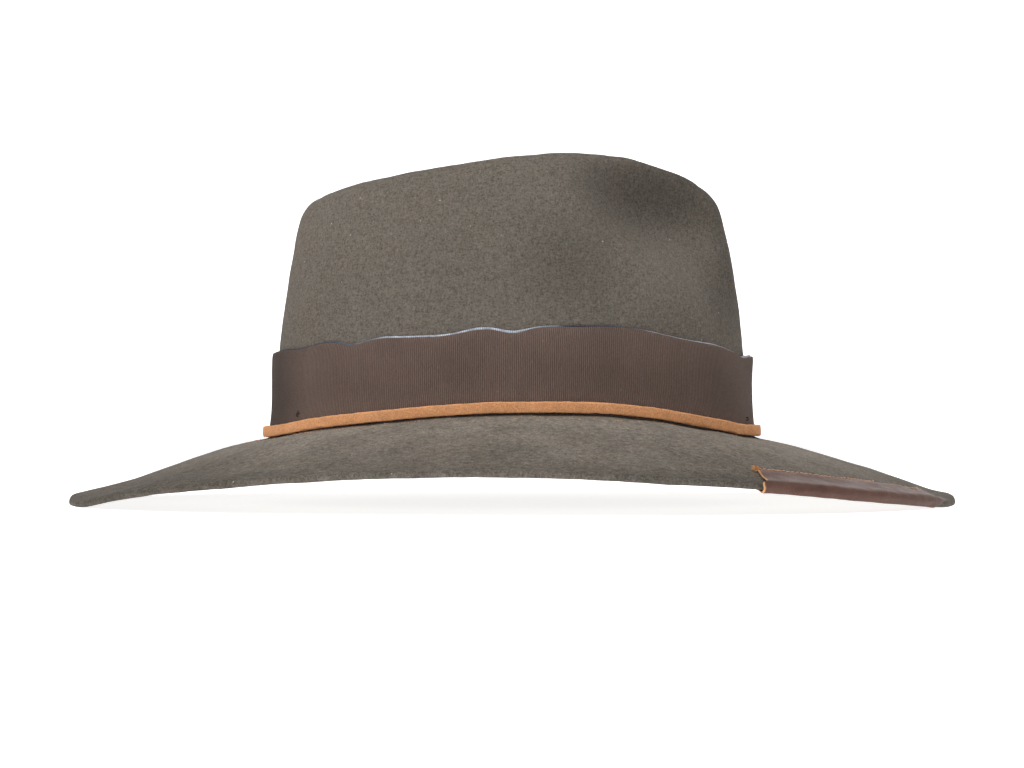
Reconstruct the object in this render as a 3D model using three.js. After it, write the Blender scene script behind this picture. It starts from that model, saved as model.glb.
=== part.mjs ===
// Wool felt hat with a teardrop crown, a wide shaped brim, a ribbon, a lace and a folded brim patch.
// Millimetres. X points to the wearer's front, Y to the wearer's left, Z up, and the hat stands on Z = 0.
import * as THREE from 'three';

// Felt body
const FELT = 3;
const HEAD_LENGTH = 200.4;
const HEAD_WIDTH = 168;
const BRIM_ENDS = 86;
const BRIM_SIDES = 85;
const FOOT_HEIGHT = 27.1;
const FOOT_LIFT = 11.1;
const RIM_LIFT = 15.8;
const SETTLE = 0.9;
const CROWN_HEIGHT = 119.5;
const DENT_DEPTH = 28;
const PINCH_DEPTH = 18;
const PINCH_SOFTNESS = 0.22;
const HOLLOW_DEPTH = 2.4;

// Trim: what lies on something else keeps CLEAR to it
const CLEAR = 0.3;
const RIBBON = 0.9;
const RIBBON_FOOT = 3;
const RIBBON_REACH = 30.8;
const RIBBON_WAVE = 1.7;
const RIBBON_FLARE = 2.2;
const RIBBON_CURL = 5;
const EDGE = 0.5;
const EDGE_SHOWN = 1.2;
const EDGE_HIDDEN = 4.5;
const EASE_START = 0.35;
const EASE_END = 0.9;
const LACE_HEIGHT = 4.4;
const LACE_DEPTH = 2.4;
const LACE_RISE = 3.4;
const LACE_SQUARE = 0.6;
const PATCH = 0.8;
const PATCH_TOP = 17;
const PATCH_TAPER = 3;
const PATCH_UNDER = 15;

// Mesh density, the short step in degrees and millimetres that slopes are measured over, and how
// often a search is halved
const TURN_STEPS = 72;
const RIM_STEPS = 4;
const PATCH_STEPS = 18;
const FLAP_STEPS = 3;
const RIBBON_STEPS = 4;
const LACE_SIDES = 8;
const SLOPE_STEP = 0.2;
const HALVINGS = 30;

// Colours
const FELT_COLOUR = 0x6f685f;
const RIBBON_COLOUR = 0x5a4a42;
const EDGE_COLOUR = 0x5c6f8c;
const LACE_COLOUR = 0xc88e62;
const PATCH_COLOUR = 0x7a5d50;

// Crown, a row for each level from near the middle of the top to the foot.
// front, back and side are shares of the outside half length and half width at the foot, square is
// the power of the oval, wall the share of the way up to the crest, and dent the share of the way
// down from the crest to the dent's floor.
const CROWN = [
  { front: 0.1, back: 0.1, side: 0.08, square: 2.0, wall: 1, dent: 1 },
  { front: 0.33, back: 0.36, side: 0.27, square: 2.0, wall: 1, dent: 0.95 },
  { front: 0.53, back: 0.57, side: 0.44, square: 2.0, wall: 1, dent: 0.74 },
  { front: 0.66, back: 0.69, side: 0.57, square: 2.0, wall: 1, dent: 0.37 },
  { front: 0.735, back: 0.76, side: 0.66, square: 2.05, wall: 1, dent: 0.08 },
  { front: 0.79, back: 0.81, side: 0.725, square: 2.1, wall: 1, dent: 0 },
  { front: 0.828, back: 0.853, side: 0.775, square: 2.1, wall: 0.972, dent: 0 },
  { front: 0.858, back: 0.878, side: 0.81, square: 2.1, wall: 0.93, dent: 0 },
  { front: 0.878, back: 0.897, side: 0.84, square: 2.1, wall: 0.86, dent: 0 },
  { front: 0.899, back: 0.915, side: 0.87, square: 2.1, wall: 0.76, dent: 0 },
  { front: 0.922, back: 0.936, side: 0.9, square: 2.1, wall: 0.62, dent: 0 },
  { front: 0.946, back: 0.957, side: 0.93, square: 2.1, wall: 0.48, dent: 0 },
  { front: 0.968, back: 0.975, side: 0.96, square: 2.1, wall: 0.32, dent: 0 },
  { front: 0.99, back: 0.99, side: 0.983, square: 2.1, wall: 0.14, dent: 0 },
  { front: 1.0, back: 1.0, side: 1.0, square: 2.1, wall: 0.03, dent: 0 },
];

// The front pinches, by level from the foot, at 0, over the crest, at 1, to the dent's floor, at 2:
// depth is the share of PINCH_DEPTH, turn the azimuth in degrees where it is deepest, and rear and
// fore how many degrees it reaches to each side of that.
const PINCHES = [
  { level: 0.3, depth: 0, turn: 26, rear: 14, fore: 15 },
  { level: 0.42, depth: 0.08, turn: 26, rear: 16, fore: 16 },
  { level: 0.55, depth: 0.3, turn: 29, rear: 20, fore: 19 },
  { level: 0.68, depth: 0.64, turn: 33, rear: 24, fore: 23 },
  { level: 0.79, depth: 0.93, turn: 37, rear: 28, fore: 27 },
  { level: 0.85, depth: 1, turn: 38, rear: 30, fore: 28 },
  { level: 0.91, depth: 0.88, turn: 39, rear: 31, fore: 29 },
  { level: 0.96, depth: 0.62, turn: 39, rear: 32, fore: 30 },
  { level: 1, depth: 0.42, turn: 39, rear: 32, fore: 30 },
  { level: 1.08, depth: 0.36, turn: 39, rear: 33, fore: 31 },
  { level: 1.37, depth: 0.3, turn: 39, rear: 35, fore: 32 },
  { level: 1.74, depth: 0.2, turn: 39, rear: 38, fore: 33 },
  { level: 1.95, depth: 0.08, turn: 39, rear: 40, fore: 34 },
  { level: 2, depth: 0, turn: 39, rear: 40, fore: 34 },
];

// Brim, a row for each ring from the foot's fillet to the rim: out is the share of the brim's
// width, front and back the share of the way down from the foot to the rim on the hat's front and
// back, and square the power of the oval.
const BRIM = [
  { out: 0.012, front: -0.035, back: -0.035, square: 2.1 },
  { out: 0.04, front: 0.01, back: 0, square: 2.1 },
  { out: 0.12, front: 0.065, back: 0.05, square: 2.12 },
  { out: 0.29, front: 0.225, back: 0.21, square: 2.15 },
  { out: 0.5, front: 0.44, back: 0.48, square: 2.19 },
  { out: 0.7, front: 0.665, back: 0.72, square: 2.22 },
  { out: 0.88, front: 0.9, back: 0.895, square: 2.25 },
  { out: 0.975, front: 0.985, back: 0.978, square: 2.25 },
  { out: 1, front: 1, back: 1, square: 2.25 },
];

// How far the rim and the crown's foot stand above their lowest, by azimuth from the front.
const LIFTS = [
  { azimuth: 0, rim: 0.114, foot: 0.05 },
  { azimuth: 6, rim: 0.09, foot: 0.055 },
  { azimuth: 12, rim: 0.02, foot: 0.07 },
  { azimuth: 20, rim: 0.03, foot: 0.12 },
  { azimuth: 24, rim: 0.135, foot: 0.15 },
  { azimuth: 30, rim: 0.222, foot: 0.28 },
  { azimuth: 40, rim: 0.373, foot: 0.48 },
  { azimuth: 54, rim: 0.62, foot: 0.8 },
  { azimuth: 68, rim: 0.81, foot: 0.97 },
  { azimuth: 81, rim: 0.956, foot: 1 },
  { azimuth: 94, rim: 1, foot: 0.985 },
  { azimuth: 107, rim: 0.96, foot: 0.885 },
  { azimuth: 120, rim: 0.829, foot: 0.73 },
  { azimuth: 133, rim: 0.608, foot: 0.55 },
  { azimuth: 145, rim: 0.367, foot: 0.36 },
  { azimuth: 154, rim: 0.152, foot: 0.185 },
  { azimuth: 160, rim: 0.035, foot: 0.1 },
  { azimuth: 169, rim: 0.02, foot: 0.02 },
  { azimuth: 175, rim: 0.09, foot: 0.01 },
  { azimuth: 180, rim: 0.114, foot: 0 },
];

// The crest's height as a share of CROWN_HEIGHT, by its place along the half length.
const CREST = [
  { along: -0.82, height: 0.855 },
  { along: -0.62, height: 0.902 },
  { along: -0.45, height: 0.93 },
  { along: -0.21, height: 0.962 },
  { along: 0.03, height: 0.988 },
  { along: 0.27, height: 1 },
  { along: 0.44, height: 0.989 },
  { along: 0.6, height: 0.957 },
  { along: 0.7, height: 0.932 },
  { along: 0.8, height: 0.886 },
];

// Upper edge of the ribbon: its rise as a share of RIBBON_WAVE, by azimuth from the front.
const WAVES = [
  { azimuth: 0, rise: -0.4 },
  { azimuth: 10, rise: -0.3 },
  { azimuth: 13, rise: -1 },
  { azimuth: 17, rise: -0.5 },
  { azimuth: 28, rise: 0.9 },
  { azimuth: 43, rise: 0.6 },
  { azimuth: 58, rise: 1 },
  { azimuth: 71, rise: 0.5 },
  { azimuth: 82, rise: 0.3 },
  { azimuth: 89, rise: -1 },
  { azimuth: 98, rise: 0.1 },
  { azimuth: 109, rise: -0.9 },
  { azimuth: 119, rise: -0.4 },
  { azimuth: 127, rise: 0.1 },
  { azimuth: 134, rise: -0.8 },
  { azimuth: 143, rise: 0.7 },
  { azimuth: 153, rise: 0.4 },
  { azimuth: 163, rise: 1 },
  { azimuth: 180, rise: 0.8 },
];

// How far the ribbon's upper edge leans off the felt, as a share of RIBBON_FLARE.
const FLARES = [
  { azimuth: 0, lean: 0.8 },
  { azimuth: 10, lean: 0.9 },
  { azimuth: 14, lean: 0.3 },
  { azimuth: 22, lean: 0.3 },
  { azimuth: 60, lean: 0.15 },
  { azimuth: 120, lean: 0.2 },
  { azimuth: 165, lean: 0.3 },
  { azimuth: 180, lean: 0.3 },
];

// Shallow hollows in the crown's side: where each is deepest, and how far it reaches round and up.
const HOLLOWS = [
  { azimuth: 80, level: 0.5, around: 16, up: 0.3, depth: 1 },
  { azimuth: 140, level: 0.55, around: 24, up: 0.32, depth: 0.4 },
];

// Ends of the brim patch as azimuths, by the share of its section from the flap's edge to below.
const PATCH_ENDS = [
  { across: 0, start: -54, end: -14.5 },
  { across: 0.2, start: -55, end: -18 },
  { across: 0.4, start: -56.8, end: -21.7 },
  { across: 0.5, start: -57.5, end: -23.5 },
  { across: 0.6, start: -57.9, end: -24.8 },
  { across: 1, start: -56.5, end: -23.5 },
];

// Smooth curve through a table's rows that never swings past them.
function curve(rows, key, value) {
  const xs = rows.map((row) => row[key]);
  const ys = rows.map((row) => row[value]);
  const last = xs.length - 1;
  const steps = xs.slice(1).map((x, i) => (ys[i + 1] - ys[i]) / (x - xs[i]));
  const inner = steps.slice(1).map((step, i) => {
    if (step * steps[i] <= 0) {
      return 0;
    }
    const before = xs[i + 1] - xs[i];
    const after = xs[i + 2] - xs[i + 1];
    const first = 2 * after + before;
    const second = after + 2 * before;
    return (first + second) / (first / steps[i] + second / step);
  });
  const slopes = [steps[0], ...inner, steps[last - 1]];
  return (x) => {
    const at = THREE.MathUtils.clamp(x, xs[0], xs[last]);
    let i = 0;
    while (i < last - 1 && at > xs[i + 1]) {
      i += 1;
    }
    const h = xs[i + 1] - xs[i];
    const t = (at - xs[i]) / h;
    const t2 = t * t;
    const t3 = t2 * t;
    const ends = (2 * t3 - 3 * t2 + 1) * ys[i] + (3 * t2 - 2 * t3) * ys[i + 1];
    return ends + h * ((t3 - 2 * t2 + t) * slopes[i] + (t3 - t2) * slopes[i + 1]);
  };
}

const rimShare = curve(LIFTS, 'azimuth', 'rim');
const footShare = curve(LIFTS, 'azimuth', 'foot');
const crestShare = curve(CREST, 'along', 'height');
const waveShare = curve(WAVES, 'azimuth', 'rise');
const flareShare = curve(FLARES, 'azimuth', 'lean');
const pinchShare = curve(PINCHES, 'level', 'depth');
const pinchTurn = curve(PINCHES, 'level', 'turn');
const pinchRear = curve(PINCHES, 'level', 'rear');
const pinchFore = curve(PINCHES, 'level', 'fore');
const patchStart = curve(PATCH_ENDS, 'across', 'start');
const patchEnd = curve(PATCH_ENDS, 'across', 'end');

// Outside half axes of the crown at its foot.
const HALF_LENGTH = HEAD_LENGTH / 2 + FELT;
const HALF_WIDTH = HEAD_WIDTH / 2 + FELT;

// Azimuths run from -180 to 180 degrees, and the shape is the same on both sides.
function fold(azimuth) {
  const turned = ((azimuth % 360) + 540) % 360 - 180;
  return Math.abs(turned);
}

function footLevel(azimuth) {
  return FOOT_HEIGHT + FOOT_LIFT * footShare(fold(azimuth));
}

function rimLevel(azimuth) {
  return RIM_LIFT * rimShare(fold(azimuth)) - SETTLE + FELT;
}

// Every station of the felt's upper face, from the top of the crown to the rim, in millimetres.
function stations() {
  const crown = CROWN.map((row) => ({
    ...row,
    front: row.front * HALF_LENGTH,
    back: row.back * HALF_LENGTH,
    side: row.side * HALF_WIDTH,
    frontDrop: 0,
    backDrop: 0,
  }));
  const low = CROWN[CROWN.length - 1];
  const brim = BRIM.map((row) => ({
    ...low,
    wall: 0,
    square: row.square,
    frontDrop: row.front,
    backDrop: row.back,
    front: HALF_LENGTH + row.out * (BRIM_ENDS - FELT / 2),
    back: HALF_LENGTH + row.out * (BRIM_ENDS - FELT / 2),
    side: HALF_WIDTH + row.out * (BRIM_SIDES - FELT / 2),
  }));
  const rows = [...crown, ...brim];
  let run = 0;
  return rows.map((row, i) => {
    if (i > 0) {
      const level = (r) => CROWN_HEIGHT * r.wall - DENT_DEPTH * r.dent - FOOT_HEIGHT * r.frontDrop;
      run += Math.hypot(row.side - rows[i - 1].side, level(row) - level(rows[i - 1]));
    }
    return { ...row, run };
  });
}

const STATIONS = stations();
const CREST_STATION = CROWN.findIndex((row) => row.dent === 0);
const FOOT_STATION = CROWN.length - 1;
const RIM_STATION = STATIONS.length - 1;
const KEYS = ['front', 'back', 'side', 'square', 'wall', 'dent', 'frontDrop', 'backDrop'];
const columns = Object.fromEntries(KEYS.map((key) => [key, curve(STATIONS, 'run', key)]));

// A pinch's share of its depth: round at its bottom, and turning in at a soft fold at a reach of one.
function pinched(reach) {
  const inside = 1 - reach * reach;
  return (inside + Math.hypot(inside, PINCH_SOFTNESS)) / 2;
}

// A smooth bump, one where its reach is nought and gone past a reach of one.
function bump(reach) {
  const bounded = Math.min(Math.abs(reach), 1);
  return 0.5 + 0.5 * Math.cos(Math.PI * bounded);
}

function hollowAt(azimuth, wall) {
  const parts = HOLLOWS.map((row) => {
    const around = bump((fold(azimuth) - row.azimuth) / row.around);
    return row.depth * around * bump((wall - row.level) / row.up);
  });
  return HOLLOW_DEPTH * parts.reduce((sum, part) => sum + part, 0);
}

function pinchAt(azimuth, level) {
  const past = fold(azimuth) - pinchTurn(level);
  const reach = past > 0 ? pinchRear(level) : pinchFore(level);
  return PINCH_DEPTH * pinchShare(level) * pinched(past / reach);
}

// Distance from the hat's axis, in plan, of a station's outline at an azimuth.
function planRadius(azimuth, row) {
  const angle = THREE.MathUtils.degToRad(azimuth);
  const along = Math.cos(angle) >= 0 ? row.front : row.back;
  const x = Math.abs(Math.cos(angle)) / along;
  const y = Math.abs(Math.sin(angle)) / row.side;
  const oval = (x ** row.square + y ** row.square) ** (-1 / row.square);
  return oval - pinchAt(azimuth, row.wall + row.dent) - hollowAt(azimuth, row.wall);
}

function crestLevel(azimuth) {
  const radius = planRadius(azimuth, STATIONS[CREST_STATION]);
  const along = radius * Math.cos(THREE.MathUtils.degToRad(azimuth)) / HALF_LENGTH;
  return FOOT_HEIGHT + CROWN_HEIGHT * crestShare(along);
}

// A point of the felt's upper face: azimuth in degrees, run in millimetres along the stations.
function feltPoint(azimuth, run) {
  const row = Object.fromEntries(KEYS.map((key) => [key, columns[key](run)]));
  const radius = planRadius(azimuth, row);
  const angle = THREE.MathUtils.degToRad(azimuth);
  const foot = footLevel(azimuth);
  const crest = crestLevel(azimuth);
  const floor = FOOT_HEIGHT + CROWN_HEIGHT - DENT_DEPTH;
  const wall = foot + row.wall * (crest - foot);
  const frontShare = 0.5 + 0.5 * Math.cos(angle);
  const drop = row.backDrop + (row.frontDrop - row.backDrop) * frontShare;
  const brim = drop * (foot - rimLevel(azimuth));
  const z = wall - row.dent * (crest - floor) - brim;
  return new THREE.Vector3(radius * Math.cos(angle), radius * Math.sin(angle), z);
}

// Directions at a point of the felt: up out of its face, and outwards along it towards the rim.
function feltFrame(azimuth, run) {
  const before = Math.max(run - SLOPE_STEP, STATIONS[0].run);
  const after = Math.min(run + SLOPE_STEP, STATIONS[RIM_STATION].run);
  const out = feltPoint(azimuth, after).sub(feltPoint(azimuth, before)).normalize();
  const behind = feltPoint(azimuth - SLOPE_STEP, run);
  const round = feltPoint(azimuth + SLOPE_STEP, run).sub(behind).normalize();
  const normal = out.clone().cross(round).normalize();
  return { normal, out: round.clone().cross(normal).normalize() };
}

// What rests on the table is flattened against it.
function settled(point) {
  point.z = Math.max(point.z, 0);
  return point;
}

// A point off the felt: above its upper face, or below its lower face where under is set.
function offFelt(azimuth, run, gap, under) {
  const { normal } = feltFrame(azimuth, run);
  const distance = under ? -(FELT + gap) : gap;
  return settled(feltPoint(azimuth, run).addScaledVector(normal, distance));
}

// A point round the rim's edge, turned from above, at 0 degrees, to below, at 180.
function roundRim(azimuth, turn, gap) {
  const rim = STATIONS[RIM_STATION].run;
  const { normal, out } = feltFrame(azimuth, rim);
  const angle = THREE.MathUtils.degToRad(turn);
  const reach = FELT / 2 + gap;
  const point = feltPoint(azimuth, rim).addScaledVector(normal, -FELT / 2);
  point.addScaledVector(normal, reach * Math.cos(angle)).addScaledVector(out, reach * Math.sin(angle));
  return settled(point);
}

// Run of the crown's wall at a height, found by halving.
function wallRun(azimuth, height) {
  let low = STATIONS[FOOT_STATION].run;
  let high = STATIONS[CREST_STATION].run;
  for (let i = 0; i < HALVINGS; i += 1) {
    const middle = (low + high) / 2;
    if (feltPoint(azimuth, middle).z < height) {
      low = middle;
    } else {
      high = middle;
    }
  }
  return (low + high) / 2;
}

// A point beside the crown's wall, level with a height on it and out from it by a gap.
function besideWall(azimuth, height, gap) {
  const run = wallRun(azimuth, height);
  const { normal } = feltFrame(azimuth, run);
  const outwards = new THREE.Vector3(normal.x, normal.y, 0).normalize();
  return feltPoint(azimuth, run).addScaledVector(outwards, gap);
}

// Triangles between rings of points. A ring of one point is a pole.
class Skin {
  constructor() {
    this.places = [];
    this.faces = [];
  }

  ring(points) {
    const start = this.places.length;
    this.places.push(...points);
    return points.map((point, i) => start + i);
  }

  // Joins two rings, the second further round the section, so that their faces point out.
  band(first, second, closed) {
    const count = Math.max(first.length, second.length);
    const spans = closed ? count : count - 1;
    for (let i = 0; i < spans; i += 1) {
      const j = (i + 1) % count;
      if (first.length > 1) {
        this.faces.push(first[i], second.length > 1 ? second[i] : second[0], first[j]);
      }
      if (second.length > 1) {
        this.faces.push(first.length > 1 ? first[j] : first[0], second[i], second[j]);
      }
    }
  }

  // Closes the end of a section whose points run in two equal rows, outside then inside.
  cap(ids, outwards) {
    const half = ids.length / 2;
    for (let i = 0; i < half - 1; i += 1) {
      const far = ids.length - 1 - i;
      const quad = [ids[i], ids[i + 1], ids[far - 1], ids[far]];
      if (outwards) {
        quad.reverse();
      }
      this.faces.push(quad[0], quad[1], quad[2], quad[0], quad[2], quad[3]);
    }
  }

  mesh(name, colour, roughness) {
    const geometry = new THREE.BufferGeometry();
    const flat = this.places.flatMap((point) => [point.x, point.y, point.z]);
    geometry.setAttribute('position', new THREE.Float32BufferAttribute(flat, 3));
    geometry.setIndex(this.faces);
    geometry.computeVertexNormals();
    const material = new THREE.MeshStandardMaterial({ color: colour, roughness, metalness: 0 });
    const mesh = new THREE.Mesh(geometry, material);
    mesh.name = name;
    return mesh;
  }
}

const AZIMUTHS = Array.from({ length: TURN_STEPS }, (unused, i) => 360 * i / TURN_STEPS - 180);

function allRound(place) {
  return AZIMUTHS.map((azimuth) => place(azimuth));
}

// Crown and brim, one piece of felt: down the outside, round the rim and back up the inside.
function feltBody() {
  const skin = new Skin();
  const top = FOOT_HEIGHT + CROWN_HEIGHT - DENT_DEPTH;
  let ring = skin.ring([new THREE.Vector3(0, 0, top)]);
  const next = (points) => {
    const grown = skin.ring(points);
    skin.band(ring, grown, true);
    ring = grown;
  };
  STATIONS.forEach((row) => next(allRound((azimuth) => offFelt(azimuth, row.run, 0, false))));
  for (let i = 1; i < RIM_STEPS; i += 1) {
    next(allRound((azimuth) => roundRim(azimuth, 180 * i / RIM_STEPS, 0)));
  }
  const inside = [...STATIONS].reverse();
  inside.forEach((row) => next(allRound((azimuth) => offFelt(azimuth, row.run, 0, true))));
  next([new THREE.Vector3(0, 0, top - FELT)]);
  return skin.mesh('felt_body', FELT_COLOUR, 0.95);
}

// A closed band round the crown from a section of points, each found from the azimuth.
function loopRound(name, section, colour, roughness) {
  const skin = new Skin();
  const rings = section.map((place) => skin.ring(allRound(place)));
  rings.forEach((ring, i) => skin.band(ring, rings[(i + 1) % rings.length], true));
  return skin.mesh(name, colour, roughness);
}

function laceLevel(azimuth) {
  return footLevel(azimuth) + LACE_RISE;
}

function ribbonTop(azimuth) {
  return laceLevel(azimuth) + RIBBON_REACH + RIBBON_WAVE * waveShare(fold(azimuth));
}

// The blue edge's lower side, as a share of the way up the ribbon.
const EDGE_LOW = 1 - EDGE_HIDDEN / RIBBON_REACH;

// How far the ribbon's inner face is off the wall, by its share of the way up the ribbon: it eases
// out to leave room for the blue edge, and then leans off the felt.
function ribbonGap(azimuth, share) {
  const eased = THREE.MathUtils.smoothstep(share / EDGE_LOW, EASE_START, EASE_END);
  const behind = (EDGE + CLEAR) * eased;
  return CLEAR + behind + RIBBON_FLARE * flareShare(fold(azimuth)) * share ** RIBBON_CURL;
}

// Ribbon: a plain band that widens at its upper edge, with the blue edge between it and the felt.
function ribbonBand() {
  const shares = Array.from({ length: RIBBON_STEPS + 1 }, (unused, i) => i / RIBBON_STEPS);
  const place = (share, thickness) => (azimuth) => {
    const foot = footLevel(azimuth) + RIBBON_FOOT;
    const height = foot + share * (ribbonTop(azimuth) - foot);
    return besideWall(azimuth, height, ribbonGap(azimuth, share) + thickness);
  };
  const outside = shares.map((share) => place(share, RIBBON)).reverse();
  const inside = shares.map((share) => place(share, 0));
  return loopRound('ribbon_band', [...outside, ...inside], RIBBON_COLOUR, 0.8);
}

// Blue edge: a narrow strip that shows above the ribbon and is held behind it.
function ribbonEdge() {
  const place = (rise, thickness) => (azimuth) => {
    const gap = CLEAR + RIBBON_FLARE * flareShare(fold(azimuth));
    return besideWall(azimuth, ribbonTop(azimuth) + rise, gap + thickness);
  };
  const low = (thickness) => (azimuth) => {
    const gap = CLEAR + RIBBON_FLARE * flareShare(fold(azimuth)) * EDGE_LOW ** RIBBON_CURL;
    return besideWall(azimuth, ribbonTop(azimuth) - EDGE_HIDDEN, gap + thickness);
  };
  const section = [place(EDGE_SHOWN, EDGE), place(0, EDGE), low(EDGE), low(0), place(0, 0)];
  return loopRound('ribbon_edge', [...section, place(EDGE_SHOWN, 0)], EDGE_COLOUR, 0.8);
}

// Lace: a suede cord of rounded square section, tied round outside the ribbon's lower edge.
function leatherLace() {
  const centre = ribbonGap(0, 0) + RIBBON + CLEAR + LACE_DEPTH / 2;
  const section = Array.from({ length: LACE_SIDES }, (unused, i) => {
    const angle = 2 * Math.PI * (i + 0.5) / LACE_SIDES;
    const squared = (value) => Math.sign(value) * Math.abs(value) ** LACE_SQUARE;
    const out = LACE_DEPTH / 2 * squared(Math.cos(angle));
    const up = LACE_HEIGHT / 2 * squared(Math.sin(angle));
    return (azimuth) => {
      const point = besideWall(azimuth, laceLevel(azimuth), centre + out);
      point.z += up;
      return point;
    };
  });
  return loopRound('leather_lace', [...section].reverse(), LACE_COLOUR, 0.9);
}

// Brim patch: a strip of leather folded over the rim, from its upper flap round to its under flap.
function brimPatch() {
  const rim = STATIONS[RIM_STATION].run;
  const outline = [];
  for (let i = 0; i <= FLAP_STEPS; i += 1) {
    outline.push({ inset: 1 - i / FLAP_STEPS, turn: 0 });
  }
  for (let i = 1; i < RIM_STEPS; i += 1) {
    outline.push({ inset: 0, turn: 180 * i / RIM_STEPS });
  }
  for (let i = 0; i <= FLAP_STEPS; i += 1) {
    outline.push({ inset: i / FLAP_STEPS, turn: 180 });
  }
  const place = (spot, index, share, gap) => {
    const across = index / (outline.length - 1);
    const azimuth = patchStart(across) + share * (patchEnd(across) - patchStart(across));
    const reach = spot.turn < 90 ? PATCH_TOP - PATCH_TAPER * share : PATCH_UNDER;
    if (spot.inset === 0) {
      return roundRim(azimuth, spot.turn, gap);
    }
    return offFelt(azimuth, rim - spot.inset * reach, gap, spot.turn > 90);
  };
  const skin = new Skin();
  let first = null;
  let ring = null;
  for (let step = 0; step <= PATCH_STEPS; step += 1) {
    const share = step / PATCH_STEPS;
    const outside = outline.map((spot, i) => place(spot, i, share, CLEAR + PATCH));
    const inside = outline.map((spot, i) => place(spot, i, share, CLEAR)).reverse();
    const grown = skin.ring([...outside, ...inside]);
    if (ring) {
      skin.band(grown, ring, true);
    }
    first = first ?? grown;
    ring = grown;
  }
  skin.cap(first, true);
  skin.cap(ring, false);
  return skin.mesh('brim_patch', PATCH_COLOUR, 0.45);
}

const hat = new THREE.Group();
hat.add(feltBody(), ribbonBand(), ribbonEdge(), leatherLace(), brimPatch());

export default hat;
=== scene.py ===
"""Wool felt hat: the felt, its ribbon with a blue edge, a suede lace and a leather patch on the brim."""

import math
import random

import bmesh
import bpy
from mathutils import Matrix, Vector, noise
from mathutils.bvhtree import BVHTree
from mathutils.kdtree import KDTree


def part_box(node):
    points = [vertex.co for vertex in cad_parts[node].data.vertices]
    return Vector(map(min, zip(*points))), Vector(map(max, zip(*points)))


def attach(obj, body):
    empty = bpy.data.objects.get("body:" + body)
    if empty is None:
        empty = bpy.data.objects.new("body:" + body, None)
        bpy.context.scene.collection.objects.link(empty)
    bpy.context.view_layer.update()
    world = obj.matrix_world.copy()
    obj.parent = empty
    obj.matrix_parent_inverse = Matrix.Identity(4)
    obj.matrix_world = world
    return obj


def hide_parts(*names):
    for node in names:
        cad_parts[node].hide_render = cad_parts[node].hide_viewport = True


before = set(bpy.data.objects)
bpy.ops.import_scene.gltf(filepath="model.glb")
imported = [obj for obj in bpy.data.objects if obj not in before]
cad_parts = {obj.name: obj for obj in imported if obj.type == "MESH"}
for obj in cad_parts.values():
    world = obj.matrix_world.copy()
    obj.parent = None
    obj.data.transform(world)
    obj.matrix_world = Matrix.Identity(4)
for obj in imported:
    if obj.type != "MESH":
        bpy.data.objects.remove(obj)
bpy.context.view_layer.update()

bl_info = {
    "name": "Wool felt hat",
    "version": (1, 0, 0),
    "blender": (4, 5, 0),
    "location": "View3D > Sidebar > Hat",
    "description": "Dresses the hat's solids in felt, ribbon, suede and leather",
    "category": "Object",
}

MM = 0.001
MERGE = 0.01 * MM
# How often a smoothed piece is set back onto the points of its solid.
FIT_ROUNDS = 5
# Further out than any point of the hat.
OUTSIDE = 0.2
# Steps round the hat in which a band's length, and its upper edge, are measured.
BAND_STEPS = 72
EDGE_STEPS = 360

# The blue edge round the ribbon, by azimuth from the front: how much of its height shows, and how
# light its blue is, from navy at 0 to pale at 1; the navy is partly painted shade and the pale partly
# painted highlight.
BLUE_EDGE = [
    {"azimuth": 0, "shown": 0.88, "light": 0.3},
    {"azimuth": 12, "shown": 1.30, "light": 1.0},
    {"azimuth": 17, "shown": 0.75, "light": 0.35},
    {"azimuth": 33, "shown": 0.81, "light": 0.75},
    {"azimuth": 50, "shown": 0.75, "light": 0.55},
    {"azimuth": 57, "shown": 0.75, "light": 0.1},
    {"azimuth": 74, "shown": 0.81, "light": 0.0},
    {"azimuth": 79, "shown": 1.00, "light": 0.4},
    {"azimuth": 88, "shown": 1.30, "light": 0.8},
    {"azimuth": 98, "shown": 1.25, "light": 0.8},
    {"azimuth": 108, "shown": 1.00, "light": 0.9},
    {"azimuth": 122, "shown": 0.94, "light": 0.85},
    {"azimuth": 130, "shown": 0.81, "light": 0.25},
    {"azimuth": 150, "shown": 0.88, "light": 0.0},
    {"azimuth": 180, "shown": 0.94, "light": 0.0},
]

# How much higher the blue edge stands than in the solid.
EDGE_LIFT = 0.45 * MM

# Painted shade on the ribbon's brown, by azimuth from the front: darkest near the back end, which faces
# away from the light.
RIBBON_PAINTED_SHADE = [
    {"azimuth": 30, "tone": 0.95},
    {"azimuth": 70, "tone": 1.0},
    {"azimuth": 130, "tone": 1.06},
    {"azimuth": 147, "tone": 1.0},
    {"azimuth": 166, "tone": 0.52},
]

# Painted shade and light on the felt, on both sides of the hat alike: darker in and around the pinch, in
# the hollow behind it and along the rim, lighter on the slope below the pinch; middle and reach along X and
# Z in metres, and the tone there.
FELT_PAINTED_SHADE = [
    {"x": 0.064, "z": 0.130, "across": 0.046, "up": 0.023, "tone": 0.66},
    {"x": 0.062, "z": 0.098, "across": 0.020, "up": 0.024, "tone": 1.14},
    {"x": 0.024, "z": 0.097, "across": 0.022, "up": 0.030, "tone": 0.84},
    {"x": 0.092, "z": 0.088, "across": 0.014, "up": 0.024, "tone": 0.76},
    {"x": 0.096, "z": 0.118, "across": 0.014, "up": 0.030, "tone": 0.74},
    {"x": -0.150, "z": 0.010, "across": 0.070, "up": 0.030, "tone": 0.78},
    {"x": 0.080, "z": 0.011, "across": 0.055, "up": 0.007, "tone": 0.76},
]

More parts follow.
